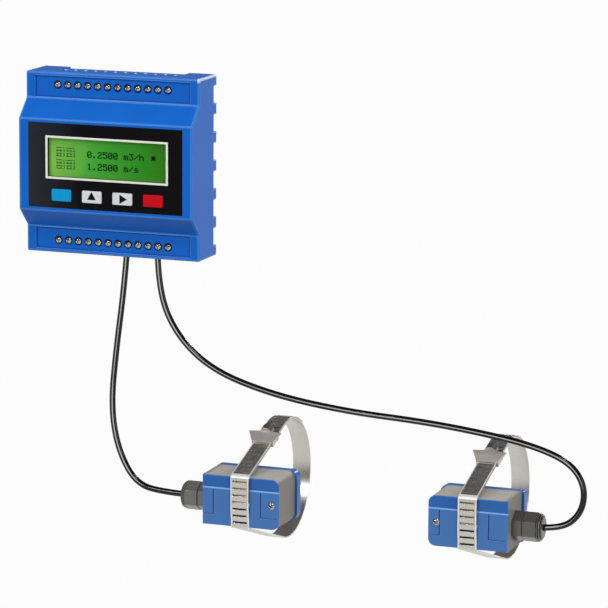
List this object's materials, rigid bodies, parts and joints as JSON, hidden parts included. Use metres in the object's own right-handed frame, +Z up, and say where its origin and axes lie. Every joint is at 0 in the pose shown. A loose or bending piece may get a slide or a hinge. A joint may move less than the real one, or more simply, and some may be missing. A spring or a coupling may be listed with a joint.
{
  "type": "ultrasonic flow meter",
  "caption": "Rail-mounted display unit with keys and screw terminals, cabled to clamp-on ultrasonic transducers held by perforated worm-drive bands.",
  "frame": {"origin": "centre of the plane on which the display unit's back seats on a 35 mm rail", "axes": "+X to the right along the rail, +Y to the back (the display faces -Y), +Z up"},
  "size_m": [0.2758, 0.0903, 0.2276],
  "materials": {
    "case_blue": "fine satin moulded plastic",
    "overlay_black": "satin printed sheet",
    "frame_white": "satin",
    "display_glass": "clear",
    "lcd_green": "lit display",
    "board_green": "solder mask",
    "part_black": "moulded",
    "key_blue": "satin",
    "key_white": "satin",
    "key_red": "satin",
    "screw_steel": "zinc plated",
    "block_grey": "moulded",
    "band_steel": "rolled stainless strip",
    "head_blue": "satin moulded",
    "head_beige": "fine matte",
    "wedge_amber": "machined",
    "element_silver": "silvered ceramic",
    "gland_nylon": "moulded nylon",
    "seal_rubber": "matte",
    "cable_jacket": "satin jacket"
  },
  "bodies": {
    "meter": {"front_housing": "case_blue", "back_plate": "case_blue", "case_screws": "screw_steel", "latch_spring": "screw_steel", "faceplate": "overlay_black", "display_frame": "frame_white", "display_window": "display_glass", "lcd_panel": "lcd_green", "display_board": "board_green", "display_board_screws": "screw_steel", "key_switches": "part_black", "main_board": "board_green", "board_parts": "part_black", "board_header": "part_black", "terminal_block_upper": "block_grey", "terminal_block_lower": "block_grey", "terminal_cages_upper": "screw_steel", "terminal_cages_lower": "screw_steel", "terminal_screws_upper": "screw_steel", "terminal_screws_lower": "screw_steel", "front_plate_left": "head_blue", "transducer_body_left": "head_beige", "rear_rim_left": "head_blue", "acoustic_wedge_left": "wedge_amber", "piezo_disc_left": "element_silver", "damping_block_left": "part_black", "cover_screw_left": "screw_steel", "gland_body_left": "gland_nylon", "gland_nut_left": "gland_nylon", "gland_seal_left": "seal_rubber", "band_left": "band_steel", "worm_housing_left": "band_steel", "cable_left": "cable_jacket", "front_plate_right": "head_blue", "transducer_body_right": "head_beige", "rear_rim_right": "head_blue", "acoustic_wedge_right": "wedge_amber", "piezo_disc_right": "element_silver", "damping_block_right": "part_black", "cover_screw_right": "screw_steel", "gland_body_right": "gland_nylon", "gland_nut_right": "gland_nylon", "gland_seal_right": "seal_rubber", "band_right": "band_steel", "worm_housing_right": "band_steel", "cable_right": "cable_jacket"},
    "latch": {"rail_latch": "part_black"},
    "key_blue": {"key_blue": "key_blue"},
    "key_up": {"key_up": "key_white"},
    "key_right": {"key_right": "key_white"},
    "key_red": {"key_red": "key_red"},
    "worm_left": {"worm_screw_left": "screw_steel"},
    "worm_right": {"worm_screw_right": "screw_steel"}
  },
  "joints": [
    {"name": "key_blue_press", "type": "slide", "parent": "meter", "child": "key_blue", "axis": [0, 1, 0], "range_m": [0, 0.0005], "stiffness_N_per_m": 600, "springref_m": -0.0004},
    {"name": "key_up_press", "type": "slide", "parent": "meter", "child": "key_up", "axis": [0, 1, 0], "range_m": [0, 0.0005], "stiffness_N_per_m": 600, "springref_m": -0.0004},
    {"name": "key_right_press", "type": "slide", "parent": "meter", "child": "key_right", "axis": [0, 1, 0], "range_m": [0, 0.0005], "stiffness_N_per_m": 600, "springref_m": -0.0004},
    {"name": "key_red_press", "type": "slide", "parent": "meter", "child": "key_red", "axis": [0, 1, 0], "range_m": [0, 0.0005], "stiffness_N_per_m": 600, "springref_m": -0.0004},
    {"name": "latch_slide", "type": "slide", "parent": "meter", "child": "latch", "axis": [0, 0, -1], "range_m": [0, 0.0045], "stiffness_N_per_m": 400, "springref_m": -0.0015, "deforming": ["latch_spring"]},
    {"name": "worm_left_turn", "type": "hinge", "parent": "meter", "child": "worm_left", "pos_m": [0.0665, -0.02622, -0.14006], "axis": [0, 0.9505, 0.3108], "continuous": true},
    {"name": "worm_right_turn", "type": "hinge", "parent": "meter", "child": "worm_right", "pos_m": [0.1785, -0.02622, -0.14006], "axis": [0, 0.9505, 0.3108], "continuous": true}
  ]
}
